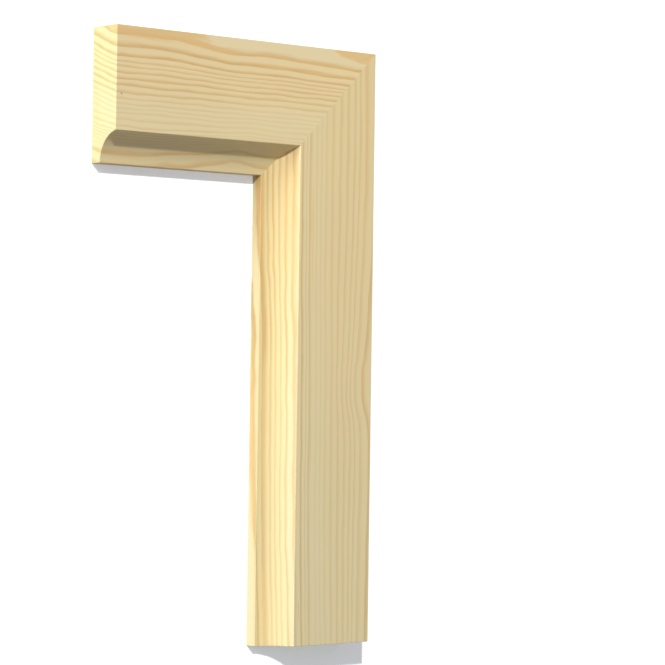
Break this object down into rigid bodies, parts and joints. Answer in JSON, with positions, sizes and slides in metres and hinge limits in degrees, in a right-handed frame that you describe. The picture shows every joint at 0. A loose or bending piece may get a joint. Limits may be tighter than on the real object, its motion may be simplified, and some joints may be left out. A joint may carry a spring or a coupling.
{
  "type": "architrave moulding",
  "caption": "Mitred top corner of a softwood door architrave with a cove along its inner edge, made of an upright leg and a cross head, planed pine.",
  "frame": {"origin": "centre of the corner's outline, on the plane of its back", "axes": "+X along the head towards the outer mitred corner, +Y up the leg towards the head, +Z out of the moulded face"},
  "size_m": [0.178, 0.322, 0.02],
  "materials": {
    "pine_leg": "planed, unfinished pine with close upright grain",
    "pine_head": "planed, unfinished pine with broad wavy grain along the head"
  },
  "bodies": {
    "root": {"architrave_leg": "pine_leg", "architrave_head": "pine_head"}
  },
  "joints": []
}
